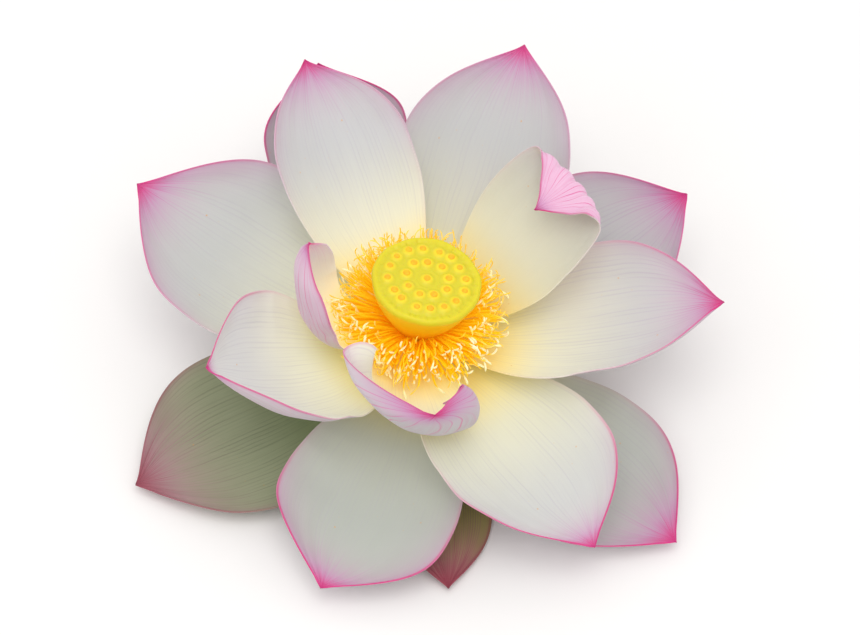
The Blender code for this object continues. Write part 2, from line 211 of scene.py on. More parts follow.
PETALS = (
    Petal("petal_inner_back", 3.8 * MM, 115.5, 97 * MM, 54 * MM, (4, 28, 44), 50, sway=-2, broadest=0.6,
          tip_reach=12, blush_width=4.5, rim=0.3, tone=0.93),
    Petal("petal_inner_right", 3.8 * MM, 34, 88 * MM, 53 * MM, (2, 38, 54), 50,
          folds=(Fold(0.735, 3, 3.0 * MM, 150, scallop=1.1 * MM),),
          blush=0.15, rim=0.1, veins=0.08, cream=0.85, tone=0.8, flush=0.55),
    # petal_inner_left has the most emission, painted light that lifts the shaded inner face of its curl
    Petal("petal_inner_left", 3.5 * MM, 188, 73 * MM, 40 * MM, (3, 10, 54, 86, 92, 130), 80, sway=-14,
          veins=0.1, cream=0.4, painted_glow=0.28, one_sided=1.0, flush=0.25),
    Petal("petal_inner_front", 3.0 * MM, 248, 68 * MM, 78 * MM, (2, 6, 18, 56, 78), 80, lean=-38, sway=76,
          broadest=0.8, folds=(Fold(2.25, -80, 4.0 * MM, 170),), blush=0.2, cream=1.0),
    Petal("petal_middle_back", 7.4 * MM, 69, 105 * MM, 66 * MM, (0, 27, 44), 45,
          tip_reach=13, blush=0.6, blush_width=5.5, rim=0.3, shade=0.2, tone=0.93),
    Petal("petal_middle_left", 9.4 * MM, 156, 104 * MM, 73 * MM, (-5, 15, 38), 42, lean=-7, sway=-4,
          tip_reach=13, blush=0.75, blush_width=6, rim=0.6, shade=0.35),
    Petal("petal_middle_front_left", 6.8 * MM, 211, 84 * MM, 66 * MM, (-8, 28, 62), 60, lean=-6,
          tip_reach=4, blush=0.25, blush_width=3, rim=0.8, cream=0.45, tone=1.12),
    Petal("petal_middle_front_right", 8.0 * MM, 303, 94 * MM, 62 * MM, (-6, 2, 10), 40, lean=-2,
          tip_reach=9, blush_width=3, rim=0.9, cream=0.6, tone=0.94),
    Petal("petal_middle_right", 6.5 * MM, 356, 97 * MM, 64 * MM, (-2, 16, 36), 56,
          tip_reach=15, blush=0.5, blush_width=4.5, rim=0.6, veins=0.5, shade=0.05, cream=0.5, tone=0.95),
    Petal("petal_outer_back", 11.2 * MM, 109, 122 * MM, 57 * MM, (-37.3, -9, 12, 44, 74), 45, lean=-4,
          broadest=0.78, blush=0.8, blush_width=3, rim=0.9, shade=0.5),
    Petal("petal_outer_right", 11.0 * MM, 28, 101 * MM, 68 * MM, (-12, 11, 40), 40, broadest=0.6,
          blush=0.7, blush_width=5, rim=0.6, veins=0.5, shade=0.2),
    Petal("petal_outer_front_right", 13.0 * MM, 318, 105 * MM, 68 * MM, (-22, -2, 14), 32, lean=-3,
          tip_reach=15, blush=0.6, blush_width=4, rim=0.9, shade=0.7, tone=1.05),
    Petal("petal_outer_front_left", 11.0 * MM, 261, 92 * MM, 62 * MM, (-8, -3.5, 6), 33, lean=-7, sway=-20,
          broadest=0.66, tip_reach=9, blush=0.7, blush_width=5, rim=0.9, shade=0.85),
)
SEPALS = (
    Petal("sepal_front", 14.9 * MM, 276, 83 * MM, 36 * MM, (-16, -2, 2), 9, lean=-9, tip_reach=24, shade=1.0),
    Petal("sepal_left", 14.4 * MM, 209, 99 * MM, 66 * MM, (-17.9, -3, 12), 32, lean=-5, tip_reach=20),
)


def ramp(value, start, length):
    """Rises from 0 at the start to 1 a length further on."""
    return np.clip((value - start) / length, 0, 1)


def pointing(slope, heading):
    """Directions, from slopes above the horizontal and headings from +X towards +Y."""
    level = np.cos(slope)
    return np.stack([level * np.cos(heading), level * np.sin(heading), np.sin(slope)], axis=1)


def follow(directions, length):
    """Points at even steps of a line that starts at the origin and follows the directions."""
    pace = (directions[1:] + directions[:-1]) / 2 * length / (len(directions) - 1)
    return np.vstack([np.zeros(3), np.cumsum(pace, axis=0)])


def read_off(places, steps, rows):
    """The rows, which are known at the steps, at places between them."""
    return np.stack([np.interp(places, steps, column) for column in rows.T], axis=-1)


def outline(petal, along):
    """Share of the full width at shares of the length: a narrow claw, a broad blade and a pointed tip."""
    claw = CLAW_SHARE + (1 - CLAW_SHARE) * np.sin(ramp(along, 0, petal.broadest) * math.pi / 2)
    falling = ramp(along, petal.broadest, 1 - petal.broadest)
    return claw * (1 - falling**TIP_ROUNDNESS) ** (1 + TIP_POINT * falling**4)


def midrib(petal, along):
    """Points, leftward directions and upward normals of the midrib at shares of the length."""
    steps = np.linspace(0, 1, MIDRIB_STEPS)
    slope = np.radians(np.interp(steps, np.linspace(0, 1, len(petal.rise)), petal.rise))
    heading = np.radians(petal.sway) * steps
    direction = pointing(slope, heading)
    level = np.stack([-np.sin(heading), np.cos(heading), np.zeros_like(heading)], axis=1)
    square = np.cross(direction, level)
    lean = (np.radians(petal.lean) * ramp(steps, 0, LEAN_REACH))[:, None]
    left = level * np.cos(lean) + square * np.sin(lean)
    upward = square * np.cos(lean) - level * np.sin(lean)
    return [read_off(along, steps, rows) for rows in (follow(direction, petal.length), left, upward)]


def curl_over(petal, across, ahead):
    """Where a petal's folds take points of the flat blade: across, ahead, and height above the blade."""
    height = np.zeros_like(across)
    for fold in petal.folds:
        turn = math.radians(fold.turn)
        line_x = -math.sin(turn)
        line_y = math.cos(turn)
        along_crest = across * line_y - ahead * line_x
        past = np.maximum(across * line_x + (ahead - fold.at * petal.length) * line_y, 0)
        bend = math.radians(fold.bend)
        angle = np.minimum(past / fold.radius, bend)
        straight = past - fold.radius * angle
        waves = np.abs(np.sin(along_crest / SCALLOP_LENGTH * math.pi + SCALLOP_START)) - SCALLOP_MEAN
        scallops = fold.scallop * waves * np.sin(np.minimum(angle, math.pi / 2))
        onward = fold.radius * np.sin(angle) + straight * math.cos(bend)
        onward = onward + scallops * np.exp(-straight / SCALLOP_REACH)
        height = height + fold.radius * (1 - np.cos(angle)) + straight * math.sin(bend)
        across = across + line_x * (onward - past)
        ahead = ahead + line_y * (onward - past)
    return across, ahead, height


def ripple(petal, along, share):
    """Height of the blade's gentle waves, deepest near its margins."""
    phase = math.radians(petal.azimuth * 3)
    waves = np.sin(along * 17 + share * 2.1 + phase) + 0.6 * np.sin(along * 31 - share * 3.7 + 2 * phase)
    furrows = 0.35 * np.sin(share * 21 + np.sin(along * 9 + phase))
    return RIPPLE_HEIGHT * ramp(along, RIPPLE_START, RIPPLE_EASE) * ((0.25 + share**2) * waves + furrows)


def blade(petal, along, share):
    """Points of a petal's middle surface, with its root at the origin and growing along +X.

    along runs from 0 at the root to 1 at the tip, and share from -1 at the right edge to 1 at the left.
    """
    half_width = petal.width / 2
    across = share * half_width * outline(petal, along)
    across, ahead, height = curl_over(petal, across, along * petal.length)
    height = height + ripple(petal, along, share)
    place = ramp(ahead, 0, petal.length)
    points, left, upward = midrib(petal, place)
    arc = np.radians(petal.cup) * (ROOT_CUP + (1 - ROOT_CUP) * ramp(place, 0, CUP_EASE))
    curvature = arc / (half_width * np.maximum(outline(petal, place), NARROWEST))
    angle = across * curvature
    sideways = np.sin(angle) * (1 / curvature - height)
    lift = (1 - np.cos(angle)) / curvature + height * np.cos(angle)
    return points + left * sideways[..., None] + upward * lift[..., None]


def colour_property(name, description, *levels):
    """A colour setting whose default has levels of 0 to 255."""
    return bpy.props.FloatVectorProperty(
        name=name, description=description, subtype="COLOR", size=3, min=0.0, max=1.0, default=srgb(*levels)
    )


class LotusPetalSettings(bpy.types.PropertyGroup):
    """Thickness and tints of the petals and sepals."""

    thickness: bpy.props.FloatProperty(
        name="Thickness", description="Thickness of a petal along its midrib", default=0.8 * MM, unit="LENGTH"
    )
    margin_share: bpy.props.FloatProperty(
        name="Margin",
        description="Thickness at the margin, as a share of the full one",
        default=0.45,
        min=0.1,
        max=1,
        subtype="FACTOR",
    )
    white: colour_property("White", "Blade of the inner petals", 197, 199, 201)
    # The grey is partly the outer petals' own greener tint and partly painted shade
    grey: colour_property("Grey", "Blade of the outer petals", 172, 178, 168)
    # The cream foot and gold root are partly the petals' own yellowish base and partly painted light:
    # brighter than the blade to lift the shade near the heart, and golden as a painted reflection of the
    # stamens
    cream: colour_property("Cream", "Foot of the petals", 238, 238, 208)
    gold: colour_property("Gold", "Root of the petals", 255, 236, 132)
    blush: colour_property("Blush", "Pink of the margins", 192, 126, 176)
    tip: colour_property("Tip", "Deep pink of the tips", 202, 42, 120)
    vein: colour_property("Vein", "Veins of the inner faces", 178, 172, 186)
    speck: colour_property("Speck", "Pollen and small spots", 214, 160, 60)
    outer_vein: colour_property("Outer vein", "Veins of the outer faces", 214, 76, 150)
    outer_white: colour_property("Outer white", "Outer faces between the veins", 194, 192, 194)
    outer_pink: colour_property("Outer pink", "Outer faces that are flushed", 255, 190, 232)
    sepal: colour_property("Sepal", "Blade of the sepals", 148, 156, 124)
    sepal_brown: colour_property("Sepal brown", "Blade of the small sepal", 166, 168, 88)
    sepal_foot: colour_property("Sepal foot", "Foot of the sepals", 128, 146, 92)
    sepal_blush: colour_property("Sepal blush", "Flush of the sepals' margins", 172, 128, 140)
    sepal_tip: colour_property("Sepal tip", "Tips of the sepals", 142, 34, 62)
    sepal_vein: colour_property("Sepal vein", "Veins of the sepals", 112, 122, 92)


class LotusHeartSettings(bpy.types.PropertyGroup):
    """Stamens, seed head and stalk."""

    stamens: bpy.props.IntProperty(
        name="Stamens", description="How many stamens grow", default=700, min=10, max=900, subtype="UNSIGNED"
    )
    filament_radius: bpy.props.FloatProperty(
        name="Filament", description="Radius of a stamen's filament", default=0.26 * MM, unit="LENGTH"
    )
    filament: colour_property("Filament colour", "Stalks of the stamens", 255, 178, 0)
    anther: colour_property("Anther colour", "Pollen-bearing length of the stamens", 255, 208, 14)
    club: colour_property("Club colour", "Pale ends of the stamens", 255, 246, 198)
    # The mounds' brighter yellow is partly their own colour and partly a painted highlight on their tops
    mound: colour_property("Mound", "Mounds of the seed head's face", 250, 222, 26)
    hollow: colour_property("Hollow", "Between the mounds", 216, 204, 30)
    rim: colour_property("Rim", "Rim of the seed head's face", 224, 210, 20)
    cup: colour_property("Cup", "Side of the seed head", 255, 204, 18)
    stigma: colour_property("Stigma", "Knobs over the seeds", 255, 172, 0)
    stalk: colour_property("Stalk", "Skin of the stalk", 126, 150, 70)
    cut: colour_property("Cut", "Cut end of the stalk", 214, 220, 170)


class LotusStageSettings(bpy.types.PropertyGroup):
    """Floor, lights and camera."""

    floor: colour_property("Floor", "Pale floor", 244, 243, 242)
    elevation: bpy.props.FloatProperty(
        name="Elevation",
        description="Camera's angle above the floor",
        default=math.radians(52),
        subtype="ANGLE",
    )
    distance: bpy.props.FloatProperty(
        name="Distance", description="Camera's distance from the flower's heart", default=0.9, unit="LENGTH"
    )
    lens: bpy.props.FloatProperty(
        name="Lens", description="Focal length, on a sensor 36 mm wide", default=113.0, unit="CAMERA"
    )
    key_power: bpy.props.FloatProperty(
        name="Key", description="Power of the main light", default=4.6, unit="POWER"
    )
    sky: bpy.props.FloatProperty(
        name="Sky", description="Strength of the even light", default=0.95, min=0.0, subtype="UNSIGNED"
    )


def deselect_all():
    if bpy.context.object is not None and bpy.context.object.mode != "OBJECT":
        bpy.ops.object.mode_set(mode="OBJECT")
    bpy.ops.object.select_all(action="DESELECT")


def apply_modifiers(piece):
    bpy.context.view_layer.objects.active = piece
    for modifier in list(piece.modifiers):
        bpy.ops.object.modifier_apply(modifier=modifier.name)


def read_points(mesh):
    points = np.empty(len(mesh.vertices) * 3)
    mesh.vertices.foreach_get("co", points)
    return points.reshape(-1, 3)


def write_points(mesh, points):
    mesh.vertices.foreach_set("co", np.ascontiguousarray(points, dtype=float).ravel())
    mesh.update()


def write_values(mesh, name, values):
    layer = mesh.attributes.new(name, "FLOAT", "POINT")
    layer.data.foreach_set("value", np.ascontiguousarray(values, dtype=float).ravel())


def copy_over(mesh, copies):
    """Gives the mesh a copy of its faces for each array of corners."""
    faces = [tuple(polygon.vertices) for polygon in mesh.polygons]
    firsts = range(0, len(mesh.vertices) * len(copies), len(mesh.vertices))
    all_faces = [tuple(index + first for index in face) for first in firsts for face in faces]
    mesh.clear_geometry()
    mesh.from_pydata(np.vstack(copies).tolist(), [], all_faces)


def finish_piece(piece, nodes, angle=60):
    """Smooth shading, and the piece's place in the frame."""
    deselect_all()
    piece.select_set(True)
    bpy.context.view_layer.objects.active = piece
    bpy.ops.object.shade_smooth_by_angle(angle=math.radians(angle))
    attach(piece, "root")
    if nodes:
        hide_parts(*nodes)


def add_node(tree, kind, inputs, **settings):
    node = tree.nodes.new(kind)
    for name, value in settings.items():
        setattr(node, name, value)
    for socket, value in inputs.items():
        if isinstance(value, bpy.types.NodeSocket):
            tree.links.new(value, node.inputs[socket])
        else:
            node.inputs[socket].default_value = value
    return node


def maths(tree, operation, *values, clamp=False):
    node = add_node(tree, "ShaderNodeMath", dict(enumerate(values)), operation=operation, use_clamp=clamp)
    return node.outputs[0]


def times(tree, first, second):
    return maths(tree, "MULTIPLY", first, second)


def times_plus(tree, first, second, added):
    return maths(tree, "MULTIPLY_ADD", first, second, added)


def between(tree, value, low, high, start=0.0, end=1.0):
    """Eases from start to end as the value goes from low to high."""
    sockets = {"Value": value, "From Min": low, "From Max": high, "To Min": start, "To Max": end}
    return add_node(tree, "ShaderNodeMapRange", sockets, interpolation_type="SMOOTHSTEP").outputs["Result"]


def blend_colours(tree, factor, first, second):
    node = add_node(tree, "ShaderNodeMix", {0: factor, 6: first, 7: second}, data_type="RGBA")
    return node.outputs[2]


def attribute(tree, name):
    return add_node(tree, "ShaderNodeAttribute", {}, attribute_name=name).outputs["Fac"]


def mottling(tree, scale, detail=3.0):
    """Noise on object coordinates."""
    place = tree.nodes.new("ShaderNodeTexCoord").outputs["Object"]
    sockets = {"Vector": place, "Scale": scale, "Detail": detail}
    return add_node(tree, "ShaderNodeTexNoise", sockets).outputs["Fac"]


def stretched(tree, place, along, across):
    sockets = {0: place, 1: (along, across, 1.0)}
    return add_node(tree, "ShaderNodeVectorMath", sockets, operation="MULTIPLY").outputs[0]


def streaks(tree, place, along, across, detail, seed):
    """Noise at its own scale along and across the blade."""
    sockets = {"Vector": stretched(tree, place, along, across), "W": seed, "Scale": 1.0, "Detail": detail}
    sockets["Roughness"] = 0.6
    return add_node(tree, "ShaderNodeTexNoise", sockets, noise_dimensions="4D").outputs["Fac"]


def vein_lines(tree, across, count, thickness):
    """Lines that run along the blade, 1 on a line and 0 between lines."""
    off = maths(tree, "PINGPONG", times(tree, across, count), 0.5)
    return between(tree, off, 0.0, thickness, 1.0, 0.0)


def fade(tree, distance, reach):
    """1 at no distance, falling away over the reach."""
    share = maths(tree, "DIVIDE", distance, reach)
    return maths(tree, "EXPONENT", times(tree, share, -1.0))


def new_group(name, colours, numbers=None):
    """A node group with inputs for colours and for numbers with their defaults."""
    group = bpy.data.node_groups.new(name, "ShaderNodeTree")
    inputs = [(label, "Color", (1.0, 1.0, 1.0, 1.0)) for label in colours]
    inputs += [(label, "Float", default) for label, default in (numbers or {}).items()]
    for label, kind, default in inputs:
        socket = group.interface.new_socket(label, in_out="INPUT", socket_type="NodeSocket" + kind)
        socket.default_value = default
    return group, group.nodes.new("NodeGroupInput").outputs


def finish_group(tree, colour, roughness, height):
    """Gives the group its outputs."""
    for label, kind in (("Color", "Color"), ("Roughness", "Float"), ("Height", "Float")):
        tree.interface.new_socket(label, in_out="OUTPUT", socket_type="NodeSocket" + kind)
    result = tree.nodes.new("NodeGroupOutput").inputs
    tree.links.new(colour, result["Color"])
    tree.links.new(roughness, result["Roughness"])
    tree.links.new(height, result["Height"])
    return tree


def petal_group():
    """Colour, roughness and relief of a petal's face, from its UV map and its distance from the margin."""
    existing = bpy.data.node_groups.get("petal_face")
    if existing is not None:
        return existing
    numbers = {
        "Root Reach": 0.4, "Foot Reach": 0.6, "Length": 100.0, "Tip Reach": 14.0, "Tip Depth": 1.0,
        "Blush Width": 2.0, "Blush Strength": 0.6, "Rim Strength": 0.6, "One Sided": 0.0, "Vein Count": 38.0,
        "Vein Width": 0.24, "Vein Wander": 0.03, "Vein Strength": 0.4, "Seed": 0.0,
    }
    colours = ("Root", "Foot", "Blade", "Blush", "Tip", "Vein", "Speck")
    tree, given = new_group("petal_face", colours, numbers)
    place = add_node(tree, "ShaderNodeUVMap", {}, uv_map="UVMap").outputs["UV"]
    axes = add_node(tree, "ShaderNodeSeparateXYZ", {0: place}).outputs
    along, across = axes["X"], axes["Y"]
    margin = attribute(tree, "margin")
    seed, tip_reach = given["Seed"], given["Tip Reach"]

    # Veins that wander and come and go, and a fine grain along the blade
    wander = maths(tree, "SUBTRACT", streaks(tree, place, 5.0, 3.0, 1.0, seed), 0.5)
    wandering = times_plus(tree, wander, given["Vein Wander"], across)
    veins = vein_lines(tree, wandering, given["Vein Count"], given["Vein Width"])
    veins = times(tree, veins, between(tree, streaks(tree, place, 3.0, 26.0, 1.0, seed), 0.35, 0.65))
    fine = streaks(tree, place, 3.0, 130.0, 2.0, seed)

    # The tip's pink, which runs down the blade further on some streaks than on others
    to_tip = times(tree, maths(tree, "SUBTRACT", 1.0, along), given["Length"])
    near_tip = between(tree, to_tip, 4.0, 56.0, 1.0, 0.0)
    runs = times_plus(tree, times(tree, maths(tree, "SUBTRACT", fine, 0.5), tip_reach), 1.1, to_tip)
    runs = times_plus(tree, times(tree, veins, tip_reach), -0.25, runs)
    tip = fade(tree, maths(tree, "MAXIMUM", runs, 0.0), tip_reach)
    haze = between(tree, tip, 0.05, 0.8, 0.0, 0.9)

    # Soft pink along the margins, and a bright pink line at the very edge: partly the margin's own pink and
    # partly a painted highlight where the edge catches the light
    width = times(tree, given["Blush Width"], times_plus(tree, near_tip, 1.1, 0.45))
    edge = times(tree, fade(tree, margin, width), times_plus(tree, near_tip, 0.75, 0.25))
    edge = times(tree, edge, between(tree, fine, 0.2, 0.6, 0.75, 1.0))
    edge = times(tree, edge, given["Blush Strength"])
    right = times(tree, between(tree, across, 0.4, 0.6, 1.0, 0.0), given["One Sided"])
    left = maths(tree, "SUBTRACT", 1.0, right)
    pink = maths(tree, "MAXIMUM", times(tree, edge, left), haze, clamp=True)
    rim = times(tree, between(tree, margin, 0.2, 1.3, 1.0, 0.0), given["Rim Strength"])
    rim = times(tree, times(tree, rim, times_plus(tree, near_tip, 0.95, 0.05)), left)
    deep = times(tree, between(tree, tip, 0.5, 1.0), given["Tip Depth"])
    deep = maths(tree, "MAXIMUM", deep, rim, clamp=True)

    # A few specks of pollen
    sockets = {"Vector": stretched(tree, place, 45.0, 30.0), "Scale": 1.0}
    cells = add_node(tree, "ShaderNodeTexVoronoi", sockets).outputs
    draw = add_node(tree, "ShaderNodeSeparateXYZ", {0: cells["Color"]}).outputs["X"]
    spots = between(tree, cells["Distance"], 0.08, 0.2, 0.7, 0.0)
    specks = times(tree, spots, between(tree, draw, 0.975, 0.99))

    # Root gold and foot cream: partly the petal's own base colour and partly painted light near the heart
    colour = blend_colours(tree, between(tree, along, 0.1, given["Root Reach"]), given["Root"], given["Foot"])
    colour = blend_colours(tree, between(tree, along, 0.2, given["Foot Reach"]), colour, given["Blade"])
    colour = blend_colours(tree, specks, colour, given["Speck"])
    shade = times(tree, times(tree, between(tree, fine, 0.35, 0.75), 0.3), given["Vein Strength"])
    colour = blend_colours(tree, shade, colour, given["Vein"])
    strength = times(tree, given["Vein Strength"], between(tree, along, 0.15, 0.75, 0.3, 1.0))
    colour = blend_colours(tree, times(tree, veins, strength), colour, given["Vein"])
    colour = blend_colours(tree, pink, colour, given["Blush"])
    colour = blend_colours(tree, deep, colour, given["Tip"])
    height = times_plus(tree, veins, -0.2, times(tree, fine, 0.3))
    return finish_group(tree, colour, between(tree, fine, 0.2, 0.8, 0.5, 0.64), height)


def new_material(name, group, values, relief, painted_glow=0.0, surface=None):
    """A material whose colour, roughness and bump come from a group with these values.

    glow is painted light: emission, as a share of their colour, that lifts shaded parts and stands in for the
    light that thin parts let through from all round. surface sets sockets of the shader itself.
    """
    material = bpy.data.materials.new(name)
    material.use_nodes = True
    tree = material.node_tree
    shader = tree.nodes["Principled BSDF"]
    for label, value in (surface or {}).items():
        shader.inputs[label].default_value = value
    node = tree.nodes.new("ShaderNodeGroup")
    node.node_tree = group
    for label, value in values.items():
        node.inputs[label].default_value = value if isinstance(value, (int, float)) else (*value, 1.0)
    tree.links.new(node.outputs["Color"], shader.inputs["Base Color"])
    tree.links.new(node.outputs["Roughness"], shader.inputs["Roughness"])
    # painted light: emission in the surface's own colour, which brightens its shaded parts
    if painted_glow:
        tree.links.new(node.outputs["Color"], shader.inputs["Emission Color"])
        shader.inputs["Emission Strength"].default_value = painted_glow
    sockets = {"Height": node.outputs["Height"], "Strength": 0.6, "Distance": relief}
    tree.links.new(add_node(tree, "ShaderNodeBump", sockets).outputs["Normal"], shader.inputs["Normal"])
    return material


def mix(first, second, share):
    return tuple(a + (b - a) * share for a, b in zip(first, second))


def toned(colour, tone):
    """The colour made darker or brighter, with none of its channels over 1."""
    share = min(tone, 1 / max(colour))
    return tuple(channel * share for channel in colour)


def tints(settings, *names):
    """The settings' colours under the labels of a group's inputs."""
    return {name.capitalize(): getattr(settings, name) for name in names}


def flesh(weight, colour, depth):
    """The shader's sockets for parts that light enters: how much of it, in which colour and how deep."""
    return {"Subsurface Weight": weight, "Subsurface Radius": colour, "Subsurface Scale": depth}


PETAL_SURFACE = {
    **flesh(0.3, (1.0, 0.95, 0.9), 1.0 * MM),
    "Specular IOR Level": 0.3,
    "Sheen Weight": 0.1,
    "Sheen Roughness": 0.5,
}


def petal_materials(petal, settings):
    """The materials of a petal's inner and outer faces."""
    grey, cream = settings.grey, settings.cream
    # the petal's shade share greys its blade: partly its own tint and partly painted shade
    white = mix(mix(settings.white, grey, petal.shade), cream, 0.35 * petal.cream**2)
    shared = {"Length": petal.length / MM, "Seed": petal.azimuth / 10}
    shared.update(tints(settings, "blush", "tip", "speck"))
    inner = {
        **shared,
        # root and foot: partly the petal's own base colour and partly painted light that lifts the shade near
        # the heart
        "Root": toned(mix(settings.gold, grey, 0.4 * petal.shade), petal.tone),
        "Foot": toned(mix(cream, grey, 0.75 * petal.shade), petal.tone),
        "Blade": toned(white, petal.tone),
        "Vein": mix(settings.vein, grey, 0.3 * petal.shade),
        "Root Reach": 0.36 + 0.1 * petal.cream,
        "Foot Reach": 0.62 + 0.3 * petal.cream,
        "Tip Reach": petal.tip_reach,
        "Blush Width": petal.blush_width,
        "Blush Strength": petal.blush,
        "Rim Strength": petal.rim,
        "One Sided": petal.one_sided,
        "Vein Strength": 0.8 * petal.veins,
    }
    outer = {
        **shared,
        "Root": mix(cream, grey, 0.4),
        "Foot": mix(cream, grey, 0.6),
        "Blade": mix(settings.outer_white, settings.outer_pink, petal.flush),
        "Vein": settings.outer_vein,
        "Tip Reach": 5.0,
        "Blush Width": 1.3,
        "Blush Strength": 0.35,
        "Rim Strength": 0.7,
        "Vein Count": 17.0,
        "Vein Width": 0.13,
        "Vein Wander": 0.16,
        "Vein Strength": 0.7 + 0.5 * petal.flush,
    }
    group = petal_group()
    return (
        new_material(petal.name + "_inner_face", group, inner, 0.12 * MM, petal.painted_glow, PETAL_SURFACE),
        new_material(petal.name + "_outer_face", group, outer, 0.15 * MM, surface=PETAL_SURFACE),
    )


def sepal_materials(sepal, settings):
    """The materials of a sepal's inner and outer faces."""
    face = {
        "Length": sepal.length / MM,
        "Seed": sepal.azimuth / 10,
        "Root": settings.sepal_foot,
        "Foot": settings.sepal_foot,
        "Blade": mix(settings.sepal, settings.sepal_brown, sepal.shade),
        "Blush": mix(settings.sepal_blush, settings.sepal_tip, 0.5 * sepal.shade),
        "Tip": settings.sepal_tip,
        "Vein": settings.sepal_vein,
        "Speck": settings.speck,
        "Tip Reach": sepal.tip_reach,
        "Tip Depth": 0.8,
        "Blush Width": 4.0 - 1.5 * sepal.shade,
        "Blush Strength": 0.75,
        "Rim Strength": 0.5,
        "Vein Count": 44.0,
        "Vein Strength": 0.75,
    }
    back = {**face, "Foot": mix(settings.sepal_foot, settings.sepal_tip, 0.15), "Blush Width": 8.0}
    surface = {**PETAL_SURFACE, "Subsurface Weight": 0.15}
    return tuple(
        new_material(sepal.name + side, petal_group(), values, 0.2 * MM, surface=surface)
        for side, values in (("_inner_face", face), ("_outer_face", back))
    )


def shape_petal(petal, settings, materials):
    """One petal: a grid shaped by its formula, given its thickness and pressed flat where it rests."""
    deselect_all()
    bpy.ops.mesh.primitive_grid_add(x_subdivisions=PETAL_ROWS, y_subdivisions=PETAL_COLUMNS, size=1)
    piece = bpy.context.object
    piece.name = petal.name + "_blade"
    mesh = piece.data
    grid = read_points(mesh)
    along = ramp(grid[:, 0], -0.5, 1)
    share = np.clip(grid[:, 1] * 2, -1, 1)
    local = blade(petal, along, share)
    azimuth = math.radians(petal.azimuth)
    ahead = np.array([math.cos(azimuth), math.sin(azimuth), 0])
    left = np.array([-math.sin(azimuth), math.cos(azimuth), 0])
    root = np.array([*AXIS, HEART_Z - petal.drop]) + ahead * PETAL_ROOT_RADIUS
    write_points(mesh, root + local[:, :1] * ahead + local[:, 1:2] * left + local[:, 2:] * (0, 0, 1))
    half_width = petal.width / 2 * outline(petal, along)
    margin = np.minimum((1 - np.abs(share)) * half_width, (1 - along) * petal.length)
    write_values(mesh, "margin", margin / MM)
    body = piece.vertex_groups.new(name="body")
    for index, weight in enumerate(ramp(margin, 0, MARGIN_TAPER)):
        body.add((index,), float(weight), "REPLACE")
    bpy.ops.object.mode_set(mode="EDIT")
    bpy.ops.mesh.select_all(action="SELECT")
    bpy.ops.mesh.remove_doubles(threshold=WELD_DISTANCE)
    bpy.ops.object.mode_set(mode="OBJECT")
    for material in materials:
        mesh.materials.append(material)
    solid = piece.modifiers.new("thickness", "SOLIDIFY")
    solid.thickness = settings.thickness
    solid.offset = 0.0
    solid.vertex_group = "body"
    solid.thickness_vertex_group = settings.margin_share
    solid.material_offset = 1
    solid.material_offset_rim = 0
    apply_modifiers(piece)
    points = read_points(mesh)
    points[:, 2] = np.maximum(points[:, 2], 0)
    write_points(mesh, points)
    finish_piece(piece, [petal.name], angle=70)


class LOTUS_OT_petals(bpy.types.Operator):
    """Models the white petals with their pink margins"""

    bl_idname = "lotus.petals"
    bl_label = "Petals"

    def execute(self, context):
        settings = context.scene.lotus_petals
        for petal in PETALS:
            shape_petal(petal, settings, petal_materials(petal, settings))
        return {"FINISHED"}


class LOTUS_OT_sepals(bpy.types.Operator):
    """Models the two green and red outermost petals"""

    bl_idname = "lotus.sepals"
    bl_label = "Sepals"

    def execute(self, context):
        settings = context.scene.lotus_petals
        for sepal in SEPALS:
            shape_petal(sepal, settings, sepal_materials(sepal, settings))
        return {"FINISHED"}


def lathe(name, profile, sides):
    """Turns a profile of radii and heights about the vertical: a disc drawn out ring by ring."""
    deselect_all()
    radius, height = profile[0]
    place = (0, 0, height)
    bpy.ops.mesh.primitive_circle_add(vertices=sides, radius=radius, fill_type="NGON", location=place)
    piece = bpy.context.object
    piece.name = name
    bpy.ops.object.transform_apply(location=True, rotation=False, scale=False)
    bpy.ops.object.mode_set(mode="EDIT")
    bpy.ops.mesh.select_all(action="SELECT")
    for (before, low), (after, high) in zip(profile, profile[1:]):
        bpy.ops.mesh.extrude_region_move(TRANSFORM_OT_translate={"value": (0, 0, high - low)})
        bpy.ops.transform.resize(value=(after / before, after / before, 1))
    bpy.ops.mesh.select_all(action="SELECT")
    bpy.ops.mesh.normals_make_consistent(inside=False)
    bpy.ops.object.mode_set(mode="OBJECT")
    return piece


def fill_in(side, heights):
    """A lathe's profile that has a ring at each height of a side given by its corners."""
    return list(zip(np.interp(heights, [z for _, z in side], [radius for radius, _ in side]), heights))


def lean_over(points):
    """Bends the upright seed head over towards +X and puts it on the flower's axis."""
    most = math.radians(CUP_LEAN)
    x, y, z = points.T
    angle = most * ramp(z, 0, CUP_LEAN_HEIGHT)
    beyond = z - CUP_LEAN_HEIGHT * angle / most
    middle_x = CUP_LEAN_HEIGHT / most * (1 - np.cos(angle))
    middle_z = CUP_LEAN_HEIGHT / most * np.sin(angle)
    return np.stack([
        AXIS[0] + middle_x + beyond * np.sin(angle) + x * np.cos(angle),
        AXIS[1] + y,
        HEART_Z + middle_z + beyond * np.cos(angle) - x * np.sin(angle),
    ], axis=1)


def carpel_centres():
    """Where the seeds sit on the face: rings of even places, each a little off."""
    dice = random.Random(3)
    centres = []
    for count, ring_radius, first in CARPEL_RINGS:
        for seed in range(count):
            angle = math.radians(first + 360 * seed / count + (dice.uniform(-3, 3) if count > 1 else 0))
            radius = ring_radius + (dice.uniform(-0.5, 0.5) * MM if count > 1 else 0)
            centres.append((radius * math.cos(angle), radius * math.sin(angle)))
    return np.array(centres)


def groove(distance):
    return np.exp(-((distance / GROOVE_WIDTH) ** 2))


